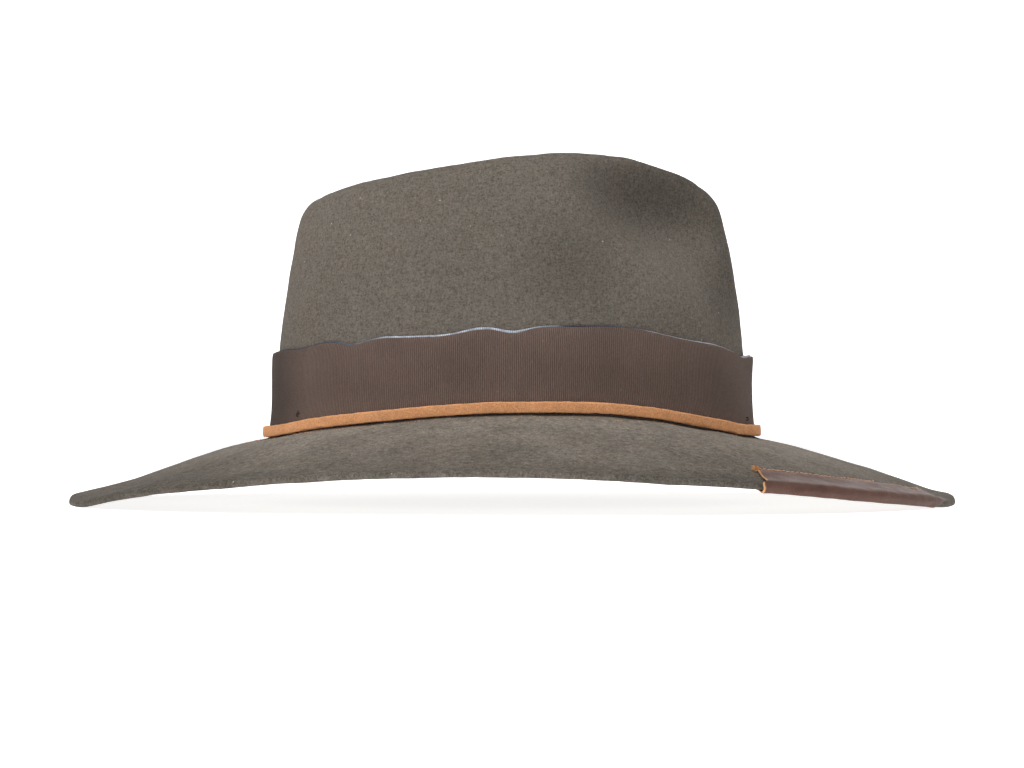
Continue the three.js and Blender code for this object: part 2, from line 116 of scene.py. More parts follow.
# Soft dents of the felt beyond those of the solid: azimuth from the front, height, how far each
# reaches and how deep it is, in metres.
SOFT_DENTS = [
    {"azimuth": -64, "height": 0.092, "reach": 0.026, "depth": 0.0017},
    {"azimuth": -34, "height": 0.083, "reach": 0.016, "depth": -0.0008},
    {"azimuth": -12, "height": 0.083, "reach": 0.015, "depth": 0.001},
    {"azimuth": 71, "height": 0.095, "reach": 0.024, "depth": 0.0012},
    {"azimuth": 150, "height": 0.1, "reach": 0.03, "depth": 0.0009},
]

# How much higher than the solid the crest's front stands, round a middle along X and above a height.
CREST_LIFT = {"x": 52 * MM, "reach": 46 * MM, "from": 110 * MM, "over": 14 * MM, "lift": 0.5 * MM}

# How much further forward than the solid the crown's front stands, above a height and past a length.
FRONT_PUSH = {"from_z": 66 * MM, "over_z": 18 * MM, "from_x": 45 * MM, "over_x": 40 * MM, "push": 0.85 * MM}

# The flaps of the patch end inside this share of the way from the hat's middle to the rim.
FLAP_REACH = 0.965

# The patch's cut end, evened out: how far it is moved towards the back at each height, over what
# spread of heights, how far along the patch this fades out, and how fast the rim rises that way.
NOTCH_MOVES = [
    {"height": 13.8 * MM, "spread": 2 * MM, "moved": 3.6 * MM},
    {"height": 9.6 * MM, "spread": 1.6 * MM, "moved": -2 * MM},
]
NOTCH_FADE = 40 * MM
RIM_SLOPE = 0.085

# Where the patch's stitches are looked for: azimuths and radii, and the steps between them.
STITCH_SEARCH = {"from": -60.0, "to": -10, "turn": 0.15, "inside": 0.12, "outside": 0.2, "step": 0.2 * MM}

# Where the ribbon's ends are sewn down: azimuth from the front, height in metres, and the knot's lean.
KNOTS = [
    {"azimuth": -152.3, "height": 0.0383, "turn": 20},
    {"azimuth": -15.8, "height": 0.0361, "turn": -35},
]

# The soft lights, and the setting that holds the power of each.
LAMPS = [
    {"name": "key_light", "place": (-1.3, -1.4, 1.1), "power": "key_power"},
    {"name": "top_light", "place": (0, -0.2, 2.2), "power": "top_power"},
    {"name": "side_light", "place": (1.5, -0.6, 1.7), "power": "side_power"},
]
LAMP_SIZE = 0.9
LAMP_AIM = (0, 0, 0.06)

# The floor sheet, and the sweep and the wall behind it, in metres.
FLOOR_SIZE = (16, 9)
FLOOR_FORWARD = 0.5
SWEEP_STEPS = 8
SWEEP_STEP = 0.3
WALL_HEIGHT = 6


def between(rows, key, value, at):
    """A smooth step from row to row of a table."""
    if at <= rows[0][key]:
        return rows[0][value]
    for low, high in zip(rows, rows[1:]):
        if at <= high[key]:
            share = (at - low[key]) / (high[key] - low[key])
            eased = share * share * (3 - 2 * share)
            return low[value] + eased * (high[value] - low[value])
    return rows[-1][value]


def ramp(value, start, reach):
    """Rises from 0 at start to 1 over a reach."""
    return min(max((value - start) / reach, 0.0), 1.0)


def bump_of(away):
    """A smooth bump: 1 at its middle and 0 at a distance of 1."""
    return 0.5 + 0.5 * math.cos(math.pi * away)


def tinted(colour, red=1, green=1, blue=1):
    """A colour as a shader takes it, with each channel scaled."""
    return (colour[0] * red, colour[1] * green, colour[2] * blue, 1.0)


def random_way(chance, reach=1):
    return Vector([chance.uniform(-reach, reach) for _ in range(3)])


def azimuth_of(point):
    """Degrees from the front, towards the wearer's left."""
    return math.degrees(math.atan2(point.y, point.x))


def steps_round(point, steps):
    """Where a point is round the hat, counted in steps from the back."""
    return (azimuth_of(point) + 180) / 360 * steps


def way_to(azimuth):
    turn = math.radians(azimuth)
    return Vector((math.cos(turn), math.sin(turn), 0))


def deselect():
    if bpy.context.object and bpy.context.object.mode != "OBJECT":
        bpy.ops.object.mode_set(mode="OBJECT")
    bpy.ops.object.select_all(action="DESELECT")


def choose(piece):
    deselect()
    piece.select_set(True)
    bpy.context.view_layer.objects.active = piece


def new_piece(name, mesh):
    piece = bpy.data.objects.new(name, mesh)
    bpy.context.scene.collection.objects.link(piece)
    choose(piece)
    return piece


def copy_of(node, name):
    """A merged copy of a solid, in four-sided faces, with its own mesh."""
    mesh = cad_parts[node].data.copy()
    mesh.name = name
    mesh.materials.clear()
    while mesh.uv_layers:
        mesh.uv_layers.remove(mesh.uv_layers[0])
    piece = new_piece(name, mesh)
    bpy.ops.object.mode_set(mode="EDIT")
    bpy.ops.mesh.select_all(action="SELECT")
    bpy.ops.mesh.customdata_custom_splitnormals_clear()
    bpy.ops.mesh.remove_doubles(threshold=MERGE)
    bpy.ops.mesh.tris_convert_to_quads(face_threshold=math.pi, shape_threshold=math.pi)
    bpy.ops.mesh.normals_make_consistent(inside=False)
    bpy.ops.object.mode_set(mode="OBJECT")
    return piece


def crease_corners(piece, angle, amount):
    """Keeps a wall's corners tight when it is subdivided."""
    shape = bmesh.new()
    shape.from_mesh(piece.data)
    layer = shape.edges.layers.float.get("crease_edge") or shape.edges.layers.float.new("crease_edge")
    for edge in shape.edges:
        if len(edge.link_faces) == 2 and edge.calc_face_angle(0) > math.radians(angle):
            edge[layer] = amount
    shape.to_mesh(piece.data)
    shape.free()


def subdivide(piece, levels):
    """Rounds a piece so that its smooth surface still goes through the points it had."""
    choose(piece)
    mesh = piece.data
    goals = [vertex.co.copy() for vertex in mesh.vertices]
    smooth = piece.modifiers.new("Subdivision", "SUBSURF")
    smooth.levels = 1
    smooth.render_levels = 1
    for _ in range(FIT_ROUNDS):
        shown = piece.evaluated_get(bpy.context.evaluated_depsgraph_get()).data
        misses = [goal - place.co for goal, place in zip(goals, shown.vertices)]
        for vertex, miss in zip(mesh.vertices, misses):
            vertex.co += miss
        mesh.update()
    smooth.levels = levels
    smooth.render_levels = levels
    bpy.ops.object.modifier_apply(modifier=smooth.name)
    bpy.ops.object.shade_smooth()


def unevenness(piece, size, height, seed, keep=None):
    """Moves the surface in and out by soft noise; keep gives the share for a point."""
    offset = Vector((seed * 7.1, seed * 3.7, seed * 5.3))
    normals = [vertex.normal.copy() for vertex in piece.data.vertices]
    for vertex, normal in zip(piece.data.vertices, normals):
        share = keep(vertex.co) if keep else 1.0
        lift = noise.fractal(vertex.co / size + offset, 0.6, 2.0, 3)
        vertex.co += normal * (lift * height * share)
    piece.data.update()


def store(piece, name, values):
    """Stores three numbers for each point of a piece, for its material to read."""
    made = piece.data.attributes.new(name, "FLOAT_VECTOR", "POINT")
    made.data.foreach_set("vector", values)


def surface_of(piece):
    return BVHTree.FromObject(piece, bpy.context.evaluated_depsgraph_get())


def finished(piece, node=None):
    """Gives a finished piece its body and hides the solid that it stands for."""
    for vertex in piece.data.vertices:
        vertex.co.z = max(vertex.co.z, 0.0)
    choose(piece)
    bpy.ops.object.transform_apply(location=True, rotation=True, scale=True)
    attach(piece, "root")
    if node:
        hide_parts(node)
    return piece


def repeat(template, places, name):
    """One piece from copies of a template's mesh, one at each place, and the template removed."""
    shape = bmesh.new()
    for place in places:
        mesh = template.data.copy()
        mesh.transform(place)
        shape.from_mesh(mesh)
        bpy.data.meshes.remove(mesh)
    mesh = bpy.data.meshes.new(name)
    shape.to_mesh(mesh)
    shape.free()
    bpy.data.objects.remove(template)
    piece = new_piece(name, mesh)
    bpy.ops.object.shade_smooth()
    return piece


def fibres(name, roots, thickness):
    """Short hairs as thin three-sided spikes: each root is a list of points along a hair."""
    shape = bmesh.new()
    for points in roots:
        rings = []
        for i, point in enumerate(points[:-1]):
            along = (points[i + 1] - point).normalized()
            side = along.orthogonal().normalized()
            other = along.cross(side)
            reach = thickness / 2 * (1 - 0.6 * i / len(points))
            turns = [2 * math.pi * k / 3 for k in range(3)]
            ring = [point + side * reach * math.cos(t) + other * reach * math.sin(t) for t in turns]
            rings.append([shape.verts.new(place) for place in ring])
        tip = shape.verts.new(points[-1])
        shape.faces.new(list(reversed(rings[0])))
        for low, high in zip(rings, rings[1:]):
            for k in range(3):
                j = (k + 1) % 3
                shape.faces.new((low[k], low[j], high[j], high[k]))
        for k in range(3):
            shape.faces.new((rings[-1][k], rings[-1][(k + 1) % 3], tip))
    mesh = bpy.data.meshes.new(name)
    shape.to_mesh(mesh)
    shape.free()
    return new_piece(name, mesh)


class Finish:
    """A material's nodes, laid out from left to right."""

    def __init__(self, name):
        self.material = bpy.data.materials.new(name)
        self.material.use_nodes = True
        self.tree = self.material.node_tree
        self.shader = self.tree.nodes["Principled BSDF"]
        self.column = -1800

    def node(self, kind, **settings):
        made = self.tree.nodes.new(kind)
        made.location = (self.column, -len(self.tree.nodes) * 40)
        self.column += 60
        for key, value in settings.items():
            setattr(made, key, value)
        return made

    def link(self, source, target):
        self.tree.links.new(source, target)

    def fill(self, socket, value):
        if isinstance(value, bpy.types.NodeSocket):
            self.link(value, socket)
        else:
            socket.default_value = value

    def fill_all(self, made, values):
        for name, value in values.items():
            self.fill(made.inputs[name], value)

    def places(self, scale=(1, 1, 1), turn=(0, 0, 0)):
        """Object coordinates, in metres, stretched and turned."""
        source = self.node("ShaderNodeTexCoord")
        mapping = self.node("ShaderNodeMapping")
        self.fill_all(mapping, {"Vector": source.outputs["Object"], "Scale": scale, "Rotation": turn})
        return mapping.outputs["Vector"]

    def stored(self, name):
        """The three numbers of a stored attribute, as X, Y and Z."""
        source = self.node("ShaderNodeAttribute", attribute_name=name)
        split = self.node("ShaderNodeSeparateXYZ")
        self.link(source.outputs["Vector"], split.inputs["Vector"])
        return split.outputs

    def grain(self, scale, detail, roughness=0.5, where=None):
        made = self.node("ShaderNodeTexNoise")
        where = where or self.places()
        self.fill_all(made, {"Vector": where, "Scale": scale, "Detail": detail, "Roughness": roughness})
        return made.outputs["Fac"]

    def cells(self, scale, feature="F1"):
        made = self.node("ShaderNodeTexVoronoi", feature=feature)
        self.fill_all(made, {"Vector": self.places(), "Scale": scale})
        return made

    def spread(self, value, low, high, to_low=0.0, to_high=1.0):
        """Maps low..high of a value to to_low..to_high, held at both ends."""
        made = self.node("ShaderNodeMapRange", clamp=True)
        self.fill_all(made, {"Value": value, "From Min": low, "From Max": high, "To Min": to_low})
        self.fill(made.inputs["To Max"], to_high)
        return made.outputs["Result"]

    def maths(self, operation, first, second=0.0):
        made = self.node("ShaderNodeMath", operation=operation)
        self.fill(made.inputs[0], first)
        self.fill(made.inputs[1], second)
        return made.outputs["Value"]

    def product(self, first, *others):
        for other in others:
            first = self.maths("MULTIPLY", first, other)
        return first

    def waves(self, length, pitch):
        """Even waves along a length."""
        return self.maths("SINE", self.maths("MULTIPLY", length, 2 * math.pi / pitch))

    def mix(self, share, first, second, blend="MIX"):
        made = self.node("ShaderNodeMix", data_type="RGBA", blend_type=blend)
        self.fill_all(made, {"Factor": share, "A": first, "B": second})
        return made.outputs["Result"]

    def darken(self, colour, value):
        """A colour times a number, such as a shade of about one."""
        tone = self.node("ShaderNodeCombineColor")
        for channel in ("Red", "Green", "Blue"):
            self.link(value, tone.inputs[channel])
        return self.mix(1.0, colour, tone.outputs["Color"], "MULTIPLY")

    def bump(self, height, distance, strength=1.0, under=None):
        made = self.node("ShaderNodeBump")
        self.fill_all(made, {"Height": height, "Distance": distance, "Strength": strength})
        if under:
            self.link(under, made.inputs["Normal"])
        return made.outputs["Normal"]

    def end(self, colour, roughness, normal, sheen=0.0, sheen_tint=(1, 1, 1, 1), gloss=0.5):
        self.fill_all(self.shader, {
            "Base Color": colour, "Roughness": roughness, "Normal": normal, "Specular IOR Level": gloss,
            "Sheen Weight": sheen, "Sheen Roughness": 0.5, "Sheen Tint": sheen_tint})
        self.shader.location = (self.column + 100, 0)
        self.tree.nodes["Material Output"].location = (self.column + 400, 0)
        return self.material


def felt_finish(colour, speck_colour):
    """Wool felt: soft mottling, short crossed fibres, a fine nap and a few light specks, with painted light
    and shade on the brim and round the pinch.
    """
    felt = Finish("wool_felt")
    clouds = felt.spread(felt.grain(22, 2, 0.5), 0.3, 0.7, 0.96, 1.04)
    patches = felt.spread(felt.grain(300, 4, 0.65), 0.3, 0.7, 0.94, 1.06)
    level = felt.grain(1.0, 4, 0.65, felt.places((420, 420, 1100), (0.2, 0.1, 0.3)))
    steep = felt.grain(1.0, 4, 0.65, felt.places((1100, 900, 420), (0.5, -0.3, 0.9)))
    nap = felt.grain(1500, 3, 0.7)
    hairs = felt.maths("ADD", felt.product(level, 0.5), felt.product(steep, 0.5))
    fine = felt.maths("ADD", felt.product(hairs, 0.5), felt.product(nap, 0.5))
    grain = felt.spread(fine, 0.38, 0.62, 0.56, 1.46)
    place = felt.stored("felt_place")
    brim = place["X"]
    # Painted light and shade on the brim: lighter next to the crown, darker towards the rim.
    painted_light = felt.product(felt.spread(brim, 0.0, 0.1, 1.0, 1.55), felt.spread(brim, 0.15, 1.0, 1.0, 0.55))
    drifts = felt.spread(felt.grain(38, 3, 0.6), 0.35, 0.65, -0.13, 0.13)
    flecks = felt.spread(felt.grain(420, 3, 0.7), 0.35, 0.65, -0.2, 0.2)
    uneven = felt.product(felt.maths("ADD", drifts, flecks), felt.spread(brim, 0.0, 0.08))
    # Random unevenness on the brim, times the painted light and shade and the stored painted shade of the
    # felt.
    uneven_and_painted_shade = felt.product(painted_light, felt.maths("ADD", uneven, 1.0), place["Y"])
    tone = felt.product(clouds, patches, grain, uneven_and_painted_shade)
    warmth = felt.spread(felt.grain(60, 2), 0.4, 0.65)
    warm = felt.mix(warmth, tinted(colour), tinted(colour, 1.02, 0.995, 0.98))
    body = felt.darken(warm, tone)
    dots = felt.cells(240)
    split = felt.node("ShaderNodeSeparateColor")
    felt.link(dots.outputs["Color"], split.inputs["Color"])
    chosen = felt.maths("GREATER_THAN", split.outputs["Red"], 0.86)
    near = felt.spread(dots.outputs["Distance"], 0.03, 0.1, 1.0, 0.0)
    shown = felt.mix(felt.product(near, chosen), body, tinted(speck_colour))
    rough = felt.bump(nap, 0.3 * MM, 0.5, felt.bump(hairs, 0.5 * MM, 0.55))
    return felt.end(shown, felt.spread(fine, 0.3, 0.7, 0.9, 1.0), rough, gloss=0.05)


def ribbon_finish(colour, rib_pitch):
    """Ribbed ribbon: upright ribs by the length round it, fine cross threads, a little dust and painted
    shade by azimuth.
    """
    cloth = Finish("ribbed_ribbon")
    place = cloth.stored("band_place")
    wobble = cloth.spread(cloth.grain(90, 2), 0.3, 0.7, -0.12 * MM, 0.12 * MM)
    rib = cloth.waves(cloth.maths("ADD", place["X"], wobble), rib_pitch)
    thread = cloth.waves(place["Y"], 0.42 * MM)
    # The ribs' tone times the painted shade stored for each point.
    rib_and_painted_shade = cloth.product(cloth.spread(rib, -1.0, 0.8, 0.68, 1.15), place["Z"])
    thread_tone = cloth.spread(thread, -1.0, 1.0, 0.965, 1.03)
    clouds = cloth.spread(cloth.grain(38, 3, 0.5), 0.3, 0.7, 0.9, 1.1)
    fine = cloth.spread(cloth.grain(1400, 3, 0.7), 0.35, 0.65, 0.87, 1.13)
    body = cloth.darken(tinted(colour), cloth.product(rib_and_painted_shade, thread_tone, clouds, fine))
    dots = cloth.cells(170)
    near = cloth.spread(dots.outputs["Distance"], 0.02, 0.07, 0.35, 0.0)
    dusty = cloth.mix(near, body, (0.42, 0.33, 0.26, 1.0))
    threads = cloth.bump(thread, 0.05 * MM, 0.5, cloth.bump(rib, 0.14 * MM, 0.9))
    return cloth.end(dusty, cloth.spread(rib, -1, 1, 0.9, 0.75), threads, gloss=0.12)


def edge_finish(dark, light, rib_pitch):
    """The ribbon's blue edge, navy in places and pale in others, partly as painted shade and highlight,
    with the ribs' ends across it.
    """
    cloth = Finish("blue_edge")
    place = cloth.stored("band_place")
    rib = cloth.waves(place["X"], rib_pitch)
    fine = cloth.spread(cloth.grain(700, 3, 0.7), 0.3, 0.7, 0.8, 1.2)
    tone = cloth.product(cloth.spread(rib, -1, 1, 0.66, 1.16), fine)
    # Mixes navy and pale blue by the stored value: the edge's colour with painted shade and highlight.
    share = cloth.product(place["Z"], cloth.spread(cloth.grain(260, 2), 0.35, 0.6, 0.7, 1.0))
    colour = cloth.darken(cloth.mix(share, tinted(dark), tinted(light)), tone)
    ribs = cloth.bump(rib, 0.14 * MM, 0.8)
    return cloth.end(colour, cloth.spread(rib, -1, 1, 0.9, 0.75), ribs, 0.1, (0.8, 0.88, 1.0, 1.0), 0.3)


def suede_finish(colour, name="tan_suede"):
    """Suede: short dense nap, mottled tan, darker in its pits."""
    suede = Finish(name)
    clouds = suede.spread(suede.grain(170, 3, 0.6), 0.3, 0.7, 0.92, 1.08)
    nap = suede.grain(1900, 4, 0.7)
    tone = suede.product(clouds, suede.spread(nap, 0.34, 0.66, 0.72, 1.22))
    warmth = suede.spread(suede.grain(330, 3), 0.35, 0.65)
    warm = suede.mix(warmth, tinted(colour), tinted(colour, 1.05, 1.02, 0.98))
    normal = suede.bump(nap, 0.4 * MM, 0.7, suede.bump(suede.grain(420, 2), 0.3 * MM, 0.5))
    rough = suede.spread(nap, 0.3, 0.7, 0.85, 1.0)
    return suede.end(suede.darken(warm, tone), rough, normal, 0.05, (1.0, 0.85, 0.65, 1.0), 0.1)


def leather_finish(colour, raw_colour):
    """Smooth brown leather: fine pores, a painted highlight along the flaps' edges, raw where it was cut.
    """
    hide = Finish("brown_leather")
    place = hide.stored("patch_place")
    clouds = hide.spread(hide.grain(70, 4, 0.6), 0.3, 0.7, 0.8, 1.22)
    streaks = hide.spread(hide.grain(1.0, 3, 0.6, hide.places((60, 60, 420))), 0.3, 0.7, 0.9, 1.12)
    pores = hide.cells(900, "DISTANCE_TO_EDGE")
    creases = hide.spread(pores.outputs["Distance"], 0.0, 0.12, 0.0, 1.0)
    tone = hide.product(clouds, streaks, hide.spread(creases, 0, 1, 0.9, 1.03))
    body = hide.darken(tinted(colour), tone)
    # Painted highlight: the leather's colour made much lighter along the flaps' edges, where the top flap
    # catches the light.
    stray = hide.spread(hide.grain(300, 3), 0.3, 0.7, -0.8 * MM, 0.8 * MM)
    painted_light = hide.spread(hide.maths("ADD", place["Y"], stray), 0.2 * MM, 3.5 * MM, 0.75, 0.0)
    painted_highlight = hide.mix(painted_light, body, tinted(colour, 2.9, 2.8, 2.8))
    raw = hide.spread(place["X"], 0.35 * MM, 0.9 * MM, 1.0, 0.0)
    cut = hide.darken(tinted(raw_colour), hide.spread(hide.grain(1500, 3, 0.7), 0.3, 0.7, 0.7, 1.25))
    normal = hide.bump(creases, 0.08 * MM, 0.6, hide.bump(hide.grain(240, 3), 0.5 * MM, 0.35))
    gloss = hide.spread(hide.grain(160, 3), 0.3, 0.7, 0.42, 0.58)
    return hide.end(hide.mix(raw, painted_highlight, cut), gloss, normal, gloss=0.1)


def thread_finish(name, colour, rough):
    """Twisted thread: fine strands that run slantwise round it."""
    thread = Finish(name)
    strand = thread.grain(1.0, 3, 0.6, thread.places((2600, 900, 2600), (0.4, 0.3, 0.6)))
    tone = thread.spread(strand, 0.35, 0.65, 0.68, 1.25)
    normal = thread.bump(strand, 0.15 * MM, 0.8)
    body = thread.darken(tinted(colour), tone)
    return thread.end(body, thread.spread(strand, 0.3, 0.7, rough, 1.0), normal)


def floor_finish(colour, glow):
    """The pale floor and backdrop, with a little light of its own so that shadows on it stay pale."""
    floor = Finish("pale_floor")
    tone = floor.spread(floor.grain(3, 2), 0.3, 0.7, 0.995, 1.0)
    normal = floor.bump(floor.grain(40, 2), 0.05 * MM, 0.1)
    away = floor.node("ShaderNodeVectorMath", operation="LENGTH")
    floor.link(floor.places(), away.inputs[0])
    near = floor.spread(away.outputs["Value"], 0.2, 0.6, 0.55, 0.0)
    far = floor.spread(away.outputs["Value"], 1.2, 3.5, 0.0, 0.75)
    light = floor.maths("ADD", floor.maths("ADD", near, far), glow)
    floor.shader.inputs["Emission Color"].default_value = (1.0, 1.0, 1.0, 1.0)
    floor.link(light, floor.shader.inputs["Emission Strength"])
    return floor.end(floor.darken(tinted(colour), tone), 0.9, normal, gloss=0.1)


def colour_setting(name, description, default):
    return bpy.props.FloatVectorProperty(
        name=name, description=description, subtype="COLOR", size=3, default=default, min=0, max=1)


def length_setting(name, description, default, low, high):
    return bpy.props.FloatProperty(
        name=name, description=description, unit="LENGTH", default=default, min=low, max=high)


def power_setting(name, description, default):
    return bpy.props.FloatProperty(
        name=name, description=description, subtype="POWER", default=default, min=0, max=500)


class HatFeltSettings(bpy.types.PropertyGroup):
    colour: colour_setting("Felt", "Colour of the wool felt", (0.137, 0.121, 0.102))
    speck_colour: colour_setting("Specks", "Colour of the light specks in the felt", (0.46, 0.4, 0.32))
    unevenness: length_setting(
        "Unevenness", "How far the felt's surface moves in and out", 0.00022, 0, 0.001)


class HatRibbonSettings(bpy.types.PropertyGroup):
    colour: colour_setting("Ribbon", "Colour of the ribbon", (0.152, 0.107, 0.088))
    rib_pitch: length_setting("Rib pitch", "Distance from rib to rib", 0.00088, 0.0003, 0.003)
    # The edge's navy and pale blue also paint its shade and highlight.
    edge_dark: colour_setting("Edge, dark", "Navy of the ribbon's edge", (0.022, 0.03, 0.062))
    edge_light: colour_setting("Edge, light", "Pale blue of the ribbon's edge", (0.78, 0.84, 0.95))
    knot_colour: colour_setting("Knots", "Colour of the thread that holds the ribbon", (0.02, 0.017, 0.016))
    waviness: length_setting("Waviness", "Small waves of the upper edge", 0.0003, 0, 0.001)


class HatLaceSettings(bpy.types.PropertyGroup):
    colour: colour_setting("Suede", "Colour of the lace", (0.73, 0.355, 0.17))
    lint_count: bpy.props.IntProperty(
        name="Lint", description="Suede hairs that have dropped on the brim", default=110, min=0, max=500)
    hair_count: bpy.props.IntProperty(
        name="Hairs", description="Loose hairs along the lace", default=420, min=0, max=2000)


class HatPatchSettings(bpy.types.PropertyGroup):
    colour: colour_setting("Leather", "Colour of the patch", (0.104, 0.056, 0.043))
    raw_colour: colour_setting("Raw edge", "Colour of the leather where it is cut", (0.6, 0.32, 0.15))
    stitch_colour: colour_setting("Stitches", "Colour of the stitches", (0.5, 0.31, 0.21))
    stitch_pitch: length_setting("Stitch pitch", "Distance from stitch to stitch", 0.0019, 0.001, 0.006)
    stitch_inset: length_setting(
        "Stitch inset", "Distance from the flap's edge to the stitches", 0.0009, 0.0003, 0.005)
    fray_count: bpy.props.IntProperty(
        name="Fray", description="Leather fibres at the corner of the cut end", default=44, min=1, max=200)


class HatStageSettings(bpy.types.PropertyGroup):
    floor_colour: colour_setting("Floor", "Colour of the floor and backdrop", (0.9, 0.9, 0.9))
    floor_glow: bpy.props.FloatProperty(
        name="Floor glow", description="Light that the floor gives off", default=0.28, min=0, max=2)
    ambient: bpy.props.FloatProperty(
        name="Ambient", description="Strength of the light from all round", default=0.12, min=0, max=3)
    key_power: power_setting("Key light", "Power of the soft light from the upper left", 23)
    top_power: power_setting("Top light", "Power of the soft light overhead", 22)
    side_power: power_setting("Side light", "Power of the soft light from the upper right", 10)
    camera_distance: length_setting("Camera distance", "From the camera to the hat's middle", 1.5, 0.5, 10)
    camera_height: length_setting("Camera height", "Of the camera above the floor", 0.05087, 0.005, 3)
    lens: bpy.props.FloatProperty(
        name="Lens", description="Focal length of the camera", subtype="DISTANCE_CAMERA",
        default=122.344, min=20, max=500)


def mark_band(piece, foot, rows, key):
    """Stores for each point of a band the length round it, the height on it and a table's value, the
    painted shade or light of the ribbon or its blue edge.
    """
    radii = [0.0] * BAND_STEPS
    for vertex in piece.data.vertices:
        slot = round(steps_round(vertex.co, BAND_STEPS)) % BAND_STEPS
        radii[slot] = max(radii[slot], math.hypot(vertex.co.x, vertex.co.y))
    lengths = [0.0]
    turn = 2 * math.pi / BAND_STEPS
    for i in range(BAND_STEPS):
        near, far = radii[i], radii[(i + 1) % BAND_STEPS]
        lengths.append(lengths[-1] + math.hypot((near + far) / 2 * turn, far - near))
    values = []
    for vertex in piece.data.vertices:
        turned = steps_round(vertex.co, BAND_STEPS)
        i = min(int(turned), BAND_STEPS - 1)
        along = lengths[i] + (turned - i) * (lengths[i + 1] - lengths[i])
        shade = between(rows, "azimuth", key, abs(azimuth_of(vertex.co)))
        values.extend((along, vertex.co.z - foot, shade))
    store(piece, "band_place", values)


class OBJECT_OT_hat_felt(bpy.types.Operator):
    """Makes the felt crown and brim"""

    bl_idname = "object.hat_felt"
    bl_label = "Felt crown and brim"

    def execute(self, context):
        settings = context.scene.hat_felt
        felt = copy_of("felt_body", "felt_hat")
        subdivide(felt, 2)
        self.soft_dents(felt)
        self.raise_front(felt)

        def clear_of_floor(point):
            return ramp(point.z, 1.5 * MM, 4 * MM)

        unevenness(felt, 0.03, settings.unevenness * 1.5, 1, clear_of_floor)
        unevenness(felt, 0.009, settings.unevenness * 0.5, 2, clear_of_floor)
        self.mark_felt(felt)
        felt.data.materials.append(felt_finish(settings.colour, settings.speck_colour))
        finished(felt, "felt_body")
        return {"FINISHED"}

    def soft_dents(self, felt):
        """Presses the crown's side in a little, both faces of the felt together."""
        for row in SOFT_DENTS:
            for vertex in felt.data.vertices:
                if abs(vertex.co.z - row["height"]) > row["reach"]:
                    continue
                along = azimuth_of(vertex.co) - row["azimuth"]
                radius = math.hypot(vertex.co.x, vertex.co.y)
                away = math.hypot(math.radians(along) * radius, vertex.co.z - row["height"]) / row["reach"]
                if away < 1:
                    pressed = row["depth"] * bump_of(away)
                    vertex.co.x -= pressed * vertex.co.x / radius
                    vertex.co.y -= pressed * vertex.co.y / radius

    def raise_front(self, felt):
        """Lifts the front of the crest and moves the crown's front forward by a little."""
        lift, push = CREST_LIFT, FRONT_PUSH
        for vertex in felt.data.vertices:
            along = abs(vertex.co.x - lift["x"]) / lift["reach"]
            if along < 1:
                high = ramp(vertex.co.z, lift["from"], lift["over"])
                vertex.co.z += lift["lift"] * high * bump_of(along)
            high = ramp(vertex.co.z, push["from_z"], push["over_z"])
            fore = ramp(vertex.co.x, push["from_x"], push["over_x"])
            vertex.co.x += push["push"] * high * fore
        felt.data.update()

    def mark_felt(self, felt):
        """Stores how far out on the brim each point is, 0 at the crown and 1 at the rim, and its painted
        shade or light.
        """
        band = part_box("ribbon_band")[1]
        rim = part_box("felt_body")[1]
        values = []
        for vertex in felt.data.vertices:
            x, y, z = vertex.co
            inner = math.hypot(x / band.x, y / band.y)
            outer = max(math.hypot(x / rim.x, y / rim.y), MERGE)
            out = ramp(inner, 1, inner / outer - 1)
            # Painted shade and light, from the felt's table.
            tone = 1.0
            for row in FELT_PAINTED_SHADE:
                away = math.hypot((x - row["x"]) / row["across"], (z - row["z"]) / row["up"])
                share = max(1 - away * away, 0.0) ** 1.5
                tone *= 1 + (row["tone"] - 1) * share
            values.extend((out, tone, 0.0))
        store(felt, "felt_place", values)


